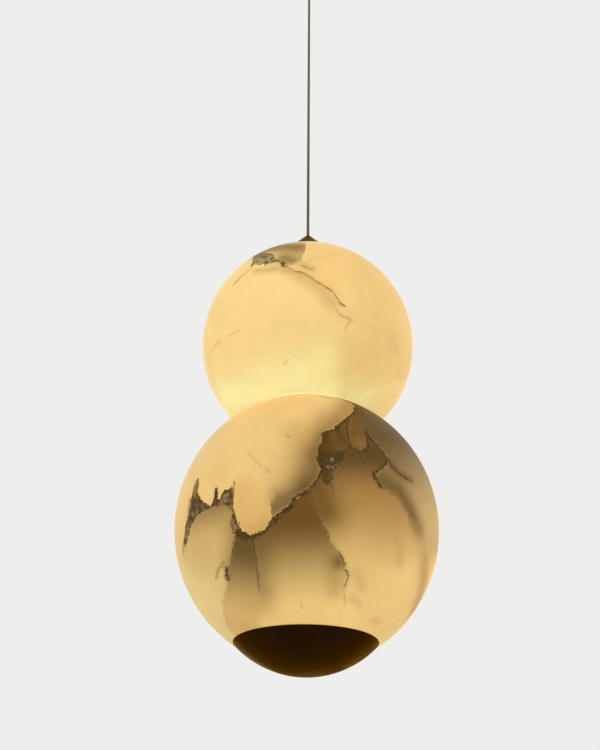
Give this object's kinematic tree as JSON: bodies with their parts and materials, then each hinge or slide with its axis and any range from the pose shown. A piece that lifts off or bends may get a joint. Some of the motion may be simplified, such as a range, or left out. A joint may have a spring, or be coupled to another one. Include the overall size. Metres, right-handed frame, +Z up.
{
  "type": "pendant lamp",
  "caption": "Pendant lamp of stacked hollow alabaster globes with a dark bronze bottom cap, hung on a thin cord from a round ceiling canopy.",
  "frame": {"origin": "midpoint of the two ceiling screw slots, on the ceiling plane", "axes": "+Z up to the ceiling, along the cord and the lamp's axis; the two ceiling screw slots lie along X"},
  "size_m": [0.25, 0.25, 1.1312],
  "materials": {
    "alabaster": "satin",
    "dark_bronze": "satin",
    "zinc_steel": "satin",
    "brass": "satin",
    "aluminium": "satin",
    "black_steel": "satin",
    "cream_enamel": "satin",
    "silicone": "matte",
    "opal": "satin",
    "white_board": "satin",
    "white_housing": "matte",
    "nylon": "satin",
    "cord_sheath": "satin",
    "red_wire": "satin",
    "black_wire": "satin",
    "brown_wire": "satin"
  },
  "bodies": {
    "ceiling_fitting": {"ceiling_plate": "zinc_steel", "hanger_bridge": "zinc_steel", "bridge_rivets": "zinc_steel", "hanger_tube": "zinc_steel", "hanger_nuts": "zinc_steel", "canopy": "dark_bronze", "cord_gland": "dark_bronze", "gland_screw": "black_steel", "cord_tail": "cord_sheath", "led_driver": "white_housing", "driver_screws": "zinc_steel", "terminal_block": "nylon", "terminal_screws": "brass", "earth_screw": "brass", "driver_leads": "brown_wire"},
    "cord": {"suspension_cord": "cord_sheath"},
    "grip": {"cord_grip": "brass", "grip_screw": "black_steel", "cord_end": "cord_sheath"},
    "lamp": {"collar": "dark_bronze", "collar_bush": "brass", "collar_gasket": "silicone", "crown_bush": "nylon", "upper_globe": "alabaster", "central_tube": "zinc_steel", "joint_disc": "cream_enamel", "joint_gasket_upper": "silicone", "joint_gasket_lower": "silicone", "lower_globe": "alabaster", "upper_heat_sink": "aluminium", "upper_led_board": "white_board", "upper_diffuser": "opal", "upper_wires": "red_wire", "joint_nuts": "zinc_steel", "lower_heat_sink": "aluminium", "lower_led_board": "white_board", "lower_diffuser": "opal", "lower_wires": "black_wire", "bottom_nuts": "zinc_steel", "bottom_plate": "zinc_steel", "plate_gasket": "silicone", "load_washer": "zinc_steel"},
    "cap": {"bottom_cap": "dark_bronze", "cap_insert": "brass"}
  },
  "joints": [
    {"name": "cord_swing", "type": "hinge", "parent": "ceiling_fitting", "child": "cord", "pos_m": [0, 0, -0.045], "axis": [0, 1, 0], "range_deg": [-12, 12]},
    {"name": "lamp_tilt", "type": "hinge", "parent": "cord", "child": "grip", "pos_m": [0, 0, -0.639], "axis": [1, 0, 0], "range_deg": [-8, 8]},
    {"name": "lamp_turn", "type": "hinge", "parent": "grip", "child": "lamp", "pos_m": [0, 0, -0.65], "axis": [0, 0, 1], "range_deg": [-170, 170]},
    {"name": "cap_drop", "type": "slide", "parent": "lamp", "child": "cap", "axis": [0, 0, -1], "range_m": [0, 0.03]}
  ]
}
